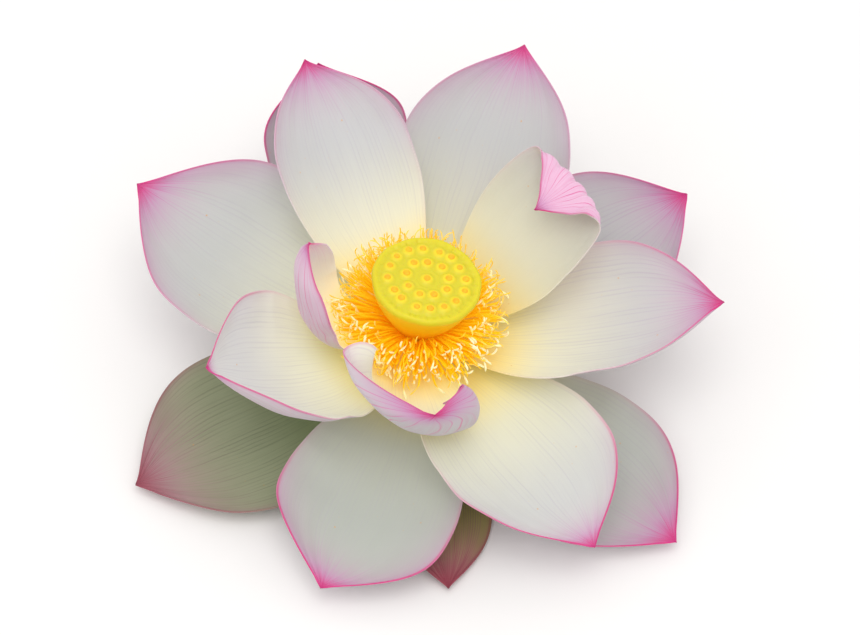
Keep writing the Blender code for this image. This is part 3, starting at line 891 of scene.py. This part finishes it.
def face_relief(points):
    """Height and mound share of the seed head's face: a mound for each seed, and wrinkles towards the rim."""
    radius = np.hypot(points[:, 0], points[:, 1])
    angle = np.arctan2(points[:, 1], points[:, 0])
    centres = carpel_centres()
    away = np.hypot(points[:, :1] - centres[:, 0], points[:, 1:2] - centres[:, 1]).min(axis=1)
    mound = 1 / (1 + np.exp((away - MOUND_RADIUS) / MOUND_SOFTNESS))
    ditch = groove(away - DITCH_RADIUS)
    near_rim = ramp(radius, 14.4 * MM, 1.6 * MM) * ramp(17.6 * MM - radius, 0, 1.2 * MM)
    wrinkles = near_rim * (np.sin(angle * 46 + 1.5 * np.sin(angle * 7)) + 0.5 * np.sin(angle * 83 + 2))
    height = MOUND_HEIGHT * mound - DITCH_DEPTH * ditch * (1 - mound)
    height = height - BAND_DEPTH * groove(radius - BAND_RADIUS) + WRINKLE_HEIGHT * wrinkles
    return height, np.clip(mound - 0.3 * ditch, 0, 1)


def seed_head_group():
    """Colour of the seed head: its face, rim and side."""
    tree, given = new_group("seed_head_skin", ("Mound", "Hollow", "Rim", "Cup"))
    mottle = mottling(tree, 420.0)
    patches = between(tree, mottling(tree, 90.0, 1.0), 0.35, 0.7, 0.0, 0.5)
    # mounds brighter than hollows: partly their own colour and partly a painted highlight on the mound tops
    colour = blend_colours(tree, attribute(tree, "mound"), given["Hollow"], given["Mound"])
    colour = blend_colours(tree, patches, colour, given["Hollow"])
    colour = blend_colours(tree, attribute(tree, "rim"), colour, given["Rim"])
    colour = blend_colours(tree, attribute(tree, "side"), colour, given["Cup"])
    return finish_group(tree, colour, between(tree, mottle, 0.3, 0.7, 0.38, 0.52), mottle)


def plain_group(name, scale):
    """Two tints mottled together."""
    tree, given = new_group(name, ("Tint", "Mottle"))
    mottle = mottling(tree, scale)
    colour = blend_colours(tree, between(tree, mottle, 0.35, 0.7), given["Tint"], given["Mottle"])
    return finish_group(tree, colour, between(tree, mottle, 0.3, 0.7, 0.4, 0.6), mottle)


class LOTUS_OT_seed_head(bpy.types.Operator):
    """Models the seed head: a leaning cup with a mound over each seed on its face"""

    bl_idname = "lotus.seed_head"
    bl_label = "Seed Head"

    def execute(self, context):
        settings = context.scene.lotus_heart
        side = np.linspace(-NECK_LENGTH, 20.6 * MM, CUP_RINGS[0])
        shoulder = np.linspace(21 * MM, CUP_HEIGHT, CUP_RINGS[1])
        face_radii = np.linspace(CUP_TOP_RADIUS - 1.2 * MM, 0.15 * MM, CUP_RINGS[2])
        profile = fill_in(CUP_SIDE, np.concatenate([side, shoulder]))
        profile += [(radius, CUP_HEIGHT) for radius in face_radii]
        piece = lathe("seed_head_cup", profile, CUP_SIDES)
        mesh = piece.data
        points = read_points(mesh)
        radius = np.hypot(points[:, 0], points[:, 1])
        face = ramp(points[:, 2], 23.2 * MM, 0.8 * MM)
        height, mound = face_relief(points)
        write_values(mesh, "mound", mound * face)
        write_values(mesh, "rim", ramp(radius, 15.4 * MM, 1.6 * MM))
        write_values(mesh, "side", ramp(22.9 * MM - points[:, 2], 0, 1.2 * MM))
        points[:, 2] += height * face
        angle = np.arctan2(points[:, 1], points[:, 0])
        swell = 0.006 * (np.sin(angle * 5 + 1) + np.sin(angle * 11)) * ramp(points[:, 2], 0, 20 * MM)
        points[:, :2] *= (1 + swell)[:, None]
        write_points(mesh, lean_over(points))
        values = tints(settings, "mound", "hollow", "rim", "cup")
        surface = flesh(0.2, (1, 0.6, 0.1), 1 * MM)
        mesh.materials.append(
            new_material("seed_head_skin", seed_head_group(), values, 0.1 * MM, surface=surface)
        )
        finish_piece(piece, ["seed_head"])
        return {"FINISHED"}


class LOTUS_OT_stigmas(bpy.types.Operator):
    """Models the knob of a stigma and sets one over each seed"""

    bl_idname = "lotus.stigmas"
    bl_label = "Stigmas"

    def execute(self, context):
        settings = context.scene.lotus_heart
        profile = [(share * STIGMA_RADIUS, height * STIGMA_HEIGHT) for share, height in STIGMA_KNOB]
        piece = lathe("stigmas", profile, STIGMA_SIDES)
        mesh = piece.data
        knob = read_points(mesh)
        dice = random.Random(5)
        copies = [
            lean_over(knob * dice.uniform(0.9, 1.08) + (x, y, CUP_HEIGHT + MOUND_HEIGHT * 0.6))
            for x, y in carpel_centres()
        ]
        copy_over(mesh, copies)
        values = {"Tint": settings.stigma, "Mottle": mix(settings.stigma, settings.cup, 0.5)}
        group = plain_group("stigma_wax", 900.0)
        # the stigmas get a little emission: painted light that makes the knobs brighter
        mesh.materials.append(new_material("stigma_wax", group, values, 0.05 * MM, 0.08))
        finish_piece(piece, [])
        return {"FINISHED"}


def stamen_path(dice, azimuth, layer, lift):
    """Points, slopes and headings along one stamen's middle.

    layer is 0 for the lowest and widest stamens and 1 for the steepest. lift turns one up, away from a petal,
    or down, away from the seed head.
    """
    behind = max(0, math.sin(azimuth))
    length = (dice.uniform(*STAMEN_LENGTHS) + LONGER_BEHIND * behind) * MM
    root_radius = 7.9 * MM - 0.9 * MM * layer
    root_height = -1.6 * MM + 1.4 * MM * layer
    uphill = STEEPER_BEHIND * behind
    start = min(math.radians(24 + 44 * layer + uphill + dice.uniform(-6, 6)) + lift, STEEPEST)
    end = min(math.radians(2 + 26 * layer + uphill + dice.uniform(-10, 10)) + lift, STEEPEST)
    curl = math.radians(dice.choice(STAMEN_CURLS) + dice.uniform(-20, 20))
    turn = math.radians(dice.uniform(-16, 16))
    bow = math.radians(dice.uniform(-18, 18))
    side_curl = math.radians(dice.uniform(-90, 90))
    steps = np.linspace(0, 1, STAMEN_STEPS)
    ease = ramp(steps, 0, 0.6)
    ease = ease * ease * (3 - 2 * ease)
    hook = ramp(steps, 0.76, 0.24) ** 1.3
    slope = start + (end - start) * ease + curl * hook
    heading = azimuth + turn * steps + bow * np.sin(steps * math.pi) + side_curl * hook
    path = follow(pointing(slope, heading), length)
    path += (root_radius * math.cos(azimuth), root_radius * math.sin(azimuth), root_height)
    path += (*AXIS, HEART_Z)
    shares = [share for share, _ in STAMEN_RINGS]
    return read_off(shares, steps, path), np.interp(shares, steps, slope), np.interp(shares, steps, heading)


def stamen_tube(points, slope, heading, radius, club):
    """Corners of the tube round a stamen's path, ring by ring. club is the share of the club's full girth.

    Along the path, right turns to below as the model's +X turns to +Y, so its faces stay outwards.
    """
    right = np.stack([np.sin(heading), -np.cos(heading), np.zeros_like(heading)], axis=1)
    below = pointing(slope - math.pi / 2, heading)
    girths = np.array([share for _, share in STAMEN_RINGS])
    girths[STAMEN_CLUB:] *= club
    girth = radius * girths[:, None, None]
    angles = 2 * math.pi * np.arange(STAMEN_SIDES) / STAMEN_SIDES
    rings = np.cos(angles)[:, None] * right[:, None] + np.sin(angles)[:, None] * below[:, None]
    return (points[:, None] + girth * rings).reshape(-1, 3)


def face_tree(names):
    """A search tree of the faces of finished pieces."""
    corners = []
    polygons = []
    for name in names:
        mesh = bpy.data.objects[name].data
        polygons += [tuple(index + len(corners) for index in polygon.vertices) for polygon in mesh.polygons]
        corners += [vertex.co.copy() for vertex in mesh.vertices]
    return BVHTree.FromPolygons(corners, polygons)


def clear_of(tree, points):
    """True if no point is too near to the tree's faces, and no step between points goes through one."""
    path = [Vector(point) for point in points]
    for point, onward in zip(path, path[1:] + path[-1:]):
        if tree.find_nearest(point, STAMEN_CLEARANCE)[0] is not None:
            return False
        step = onward - point
        if step.length and tree.ray_cast(point, step, step.length)[0] is not None:
            return False
    return True


def grow_stamen(dice, number, count, radius, tree):
    """Corners and paleness of the first of some attempts that is clear of the tree, or None."""
    layer = (number + 0.5) / count
    for attempt in range(STAMEN_ATTEMPTS):
        azimuth = GOLDEN_ANGLE * number + dice.uniform(-0.1, 0.1)
        lift = LIFT_STEP * ((attempt + 1) // 2) * (-1) ** (attempt + 1)  # up and down in turn, and further
        points, slope, heading = stamen_path(dice, azimuth, layer, lift)
        if clear_of(tree, points[STAMEN_FREE:]):
            pale = 1.0 if dice.random() < 0.26 - 0.25 * math.sin(azimuth) else dice.uniform(0.0, 0.3)
            return stamen_tube(points, slope, heading, radius, 0.55 + 0.45 * pale), pale
    return None


def stamen_group():
    """Colour of a stamen from its root to its pale club."""
    tree, given = new_group("stamen_skin", ("Filament", "Anther", "Club"))
    reach = attribute(tree, "reach")
    colour = blend_colours(tree, between(tree, reach, 0.2, 0.62), given["Filament"], given["Anther"])
    colour = blend_colours(tree, times(tree, attribute(tree, "tone"), 0.45), colour, given["Anther"])
    club = times(tree, between(tree, reach, 0.84, 0.9), attribute(tree, "pale"))
    colour = blend_colours(tree, club, colour, given["Club"])
    grain = mottling(tree, 1500.0, 2.0)
    return finish_group(tree, colour, between(tree, grain, 0.3, 0.7, 0.45, 0.65), grain)


class LOTUS_OT_stamens(bpy.types.Operator):
    """Models one stamen and grows it round the seed head, clear of the petals"""

    bl_idname = "lotus.stamens"
    bl_label = "Stamens"

    def execute(self, context):
        settings = context.scene.lotus_heart
        piece = lathe("stamen_cluster", [(1, ring) for ring in range(len(STAMEN_RINGS))], STAMEN_SIDES)
        mesh = piece.data
        model = read_points(mesh)
        ring = np.rint(model[:, 2]).astype(int)
        side = np.rint(np.arctan2(model[:, 1], model[:, 0]) / (2 * math.pi / STAMEN_SIDES)).astype(int)
        order = ring * STAMEN_SIDES + side % STAMEN_SIDES
        tree = face_tree([petal.name + "_blade" for petal in PETALS] + ["seed_head_cup"])
        dice = random.Random(11)
        tubes = []
        tones = []
        pales = []
        for number in range(settings.stamens):
            stamen = grow_stamen(dice, number, settings.stamens, settings.filament_radius, tree)
            if stamen is not None:
                tubes.append(stamen[0][order])
                tones.append(dice.random())
                pales.append(stamen[1])
        copy_over(mesh, tubes)
        shares = np.array([share for share, _ in STAMEN_RINGS])[ring]
        write_values(mesh, "reach", np.tile(shares, len(tubes)))
        write_values(mesh, "tone", np.repeat(tones, len(order)))
        write_values(mesh, "pale", np.repeat(pales, len(order)))
        values = tints(settings, "filament", "anther", "club")
        surface = flesh(0.5, (1, 0.6, 0.2), 0.8 * MM)
        # the stamens get emission: painted light that lifts the shade between the filaments
        mesh.materials.append(new_material("stamen_skin", stamen_group(), values, 0.03 * MM, 0.13, surface))
        finish_piece(piece, ["stamens"])
        return {"FINISHED"}


def cut_canal(piece, x, y):
    """Cuts one air canal up into the stub."""
    deselect_all()
    bpy.ops.mesh.primitive_cylinder_add(
        vertices=CANAL_SIDES, radius=CANAL_RADIUS, depth=2 * CANAL_DEPTH, location=(x, y, STUB_BOTTOM_Z)
    )
    canal = bpy.context.object
    cut = piece.modifiers.new("canal", "BOOLEAN")
    cut.operation = "DIFFERENCE"
    cut.solver = "EXACT"
    cut.object = canal
    apply_modifiers(piece)
    bpy.data.objects.remove(canal)


class LOTUS_OT_stalk(bpy.types.Operator):
    """Models the cut stub of the stalk, its air canals and the torus above it"""

    bl_idname = "lotus.stalk"
    bl_label = "Stalk"

    def execute(self, context):
        settings = context.scene.lotus_heart
        side = [
            (STUB_RADIUS - 0.3 * MM, STUB_BOTTOM_Z),
            (STUB_RADIUS, STUB_BOTTOM_Z + 0.3 * MM),
            (STUB_RADIUS, STUB_BOTTOM_Z + 4 * MM),
            (STUB_RADIUS + 0.8 * MM, TORUS_BOTTOM_Z - 2.0 * MM),
            (TORUS_RADIUS - 0.7 * MM, TORUS_BOTTOM_Z - 0.7 * MM),
            (TORUS_RADIUS, TORUS_BOTTOM_Z),
            (TORUS_RADIUS, STALK_HIGH.z - 0.4 * MM),
            (TORUS_RADIUS - 0.4 * MM, STALK_HIGH.z),
        ]
        piece = lathe("stalk_stub", fill_in(side, np.linspace(STUB_BOTTOM_Z, STALK_HIGH.z, 40)), STALK_SIDES)
        mesh = piece.data
        points = read_points(mesh)
        angle = np.arctan2(points[:, 1], points[:, 0])
        ribs = 1 - 0.012 * (1 + np.cos(angle * 12 + np.sin(points[:, 2] * 400)))
        points[:, :2] *= ribs[:, None]
        write_points(mesh, points)
        cut_canal(piece, 0.0, 0.0)
        for canal in range(CANAL_COUNT):
            turn = 2 * math.pi * canal / CANAL_COUNT
            cut_canal(piece, CANAL_RING_RADIUS * math.cos(turn), CANAL_RING_RADIUS * math.sin(turn))
        points = read_points(mesh)
        points[:, :2] += AXIS
        write_points(mesh, points)
        group = plain_group("stalk_skin", 260.0)
        skin = {"Tint": settings.stalk, "Mottle": mix(settings.stalk, settings.cut, 0.35)}
        flesh_tints = {"Tint": settings.cut, "Mottle": mix(settings.cut, settings.stalk, 0.3)}
        mesh.materials.append(new_material("stalk_skin", group, skin, 0.15 * MM))
        mesh.materials.append(new_material("stalk_flesh", group, flesh_tints, 0.15 * MM))
        for polygon in mesh.polygons:
            centre = polygon.center
            away = math.hypot(centre.x - AXIS[0], centre.y - AXIS[1])
            if centre.z < STUB_BOTTOM_Z + CANAL_DEPTH + 0.1 * MM and away < STUB_RADIUS - 0.5 * MM:
                polygon.material_index = 1
        finish_piece(piece, ["stalk"], angle=40)
        return {"FINISHED"}


def aim(thing, target):
    """Turns a light or camera, whose -Z looks ahead, to face the target with its top up."""
    away = thing.location - target
    thing.rotation_euler = away.to_track_quat("Z", "Y").to_euler()


def area_light(name, place, target, size, power, colour):
    bpy.ops.object.light_add(type="AREA", location=place)
    lamp = bpy.context.object
    lamp.name = name
    lamp.data.shape = "DISK"
    lamp.data.size = size
    lamp.data.energy = power
    lamp.data.color = colour
    aim(lamp, target)


class LOTUS_OT_stage(bpy.types.Operator):
    """Sets the pale floor, the soft lights and the camera"""

    bl_idname = "lotus.stage"
    bl_label = "Stage"

    def execute(self, context):
        settings = context.scene.lotus_stage
        deselect_all()
        bpy.ops.mesh.primitive_plane_add(size=FLOOR_SIZE)
        floor = context.object
        floor.name = "floor"
        values = {"Tint": settings.floor, "Mottle": mix(settings.floor, (0.8, 0.8, 0.8), 0.1)}
        group = plain_group("floor_paper", 2.0)
        floor.data.materials.append(new_material("pale_floor", group, values, 0.01 * MM))
        world = bpy.data.worlds.new("studio")
        world.use_nodes = True
        sky = world.node_tree.nodes["Background"].inputs
        sky["Color"].default_value = (1.0, 0.99, 0.98, 1.0)
        sky["Strength"].default_value = settings.sky
        context.scene.world = world
        heart = Vector((*AXIS, HEART_Z))
        area_light("key", (0.05, -0.35, 1.3), heart, 1.0, settings.key_power, (1.0, 0.99, 0.97))
        area_light("fill", (-0.9, -0.5, 0.8), heart, 0.8, settings.key_power / 4, (0.97, 0.98, 1.0))
        bpy.ops.object.camera_add()
        camera = context.object
        camera.name = "camera"
        away = Vector((0, -math.cos(settings.elevation), math.sin(settings.elevation)))
        camera.location = heart + settings.distance * away
        aim(camera, heart)
        camera.data.sensor_width = SENSOR_WIDTH
        camera.data.lens = settings.lens
        camera.data.shift_x, camera.data.shift_y = VIEW_SHIFT
        context.scene.camera = camera
        context.scene.view_settings.view_transform = "Standard"
        return {"FINISHED"}


class LOTUS_PT_panel(bpy.types.Panel):
    """Lists the settings and the pieces of the lotus blossom"""

    bl_label = "Lotus Blossom"
    bl_idname = "LOTUS_PT_panel"
    bl_space_type = "VIEW_3D"
    bl_region_type = "UI"
    bl_category = "Lotus"

    def draw(self, context):
        for group, kind in SETTINGS.items():
            box = self.layout.box()
            for name in kind.__annotations__:
                box.prop(getattr(context.scene, group), name)
        for operator in PIECES:
            self.layout.operator(operator.bl_idname)


PIECES = (
    LOTUS_OT_petals,
    LOTUS_OT_sepals,
    LOTUS_OT_seed_head,
    LOTUS_OT_stigmas,
    LOTUS_OT_stamens,
    LOTUS_OT_stalk,
    LOTUS_OT_stage,
)
SETTINGS = {
    "lotus_petals": LotusPetalSettings,
    "lotus_heart": LotusHeartSettings,
    "lotus_stage": LotusStageSettings,
}
CLASSES = (*SETTINGS.values(), *PIECES, LOTUS_PT_panel)


def register():
    for each in CLASSES:
        bpy.utils.register_class(each)
    for group, kind in SETTINGS.items():
        setattr(bpy.types.Scene, group, bpy.props.PointerProperty(type=kind))


def unregister():
    for group in SETTINGS:
        delattr(bpy.types.Scene, group)
    for each in reversed(CLASSES):
        bpy.utils.unregister_class(each)


def main():
    register()
    bpy.ops.lotus.petals()
    bpy.ops.lotus.sepals()
    bpy.ops.lotus.seed_head()
    bpy.ops.lotus.stigmas()
    bpy.ops.lotus.stamens()
    bpy.ops.lotus.stalk()
    bpy.ops.lotus.stage()


if __name__ == "__main__":
    main()
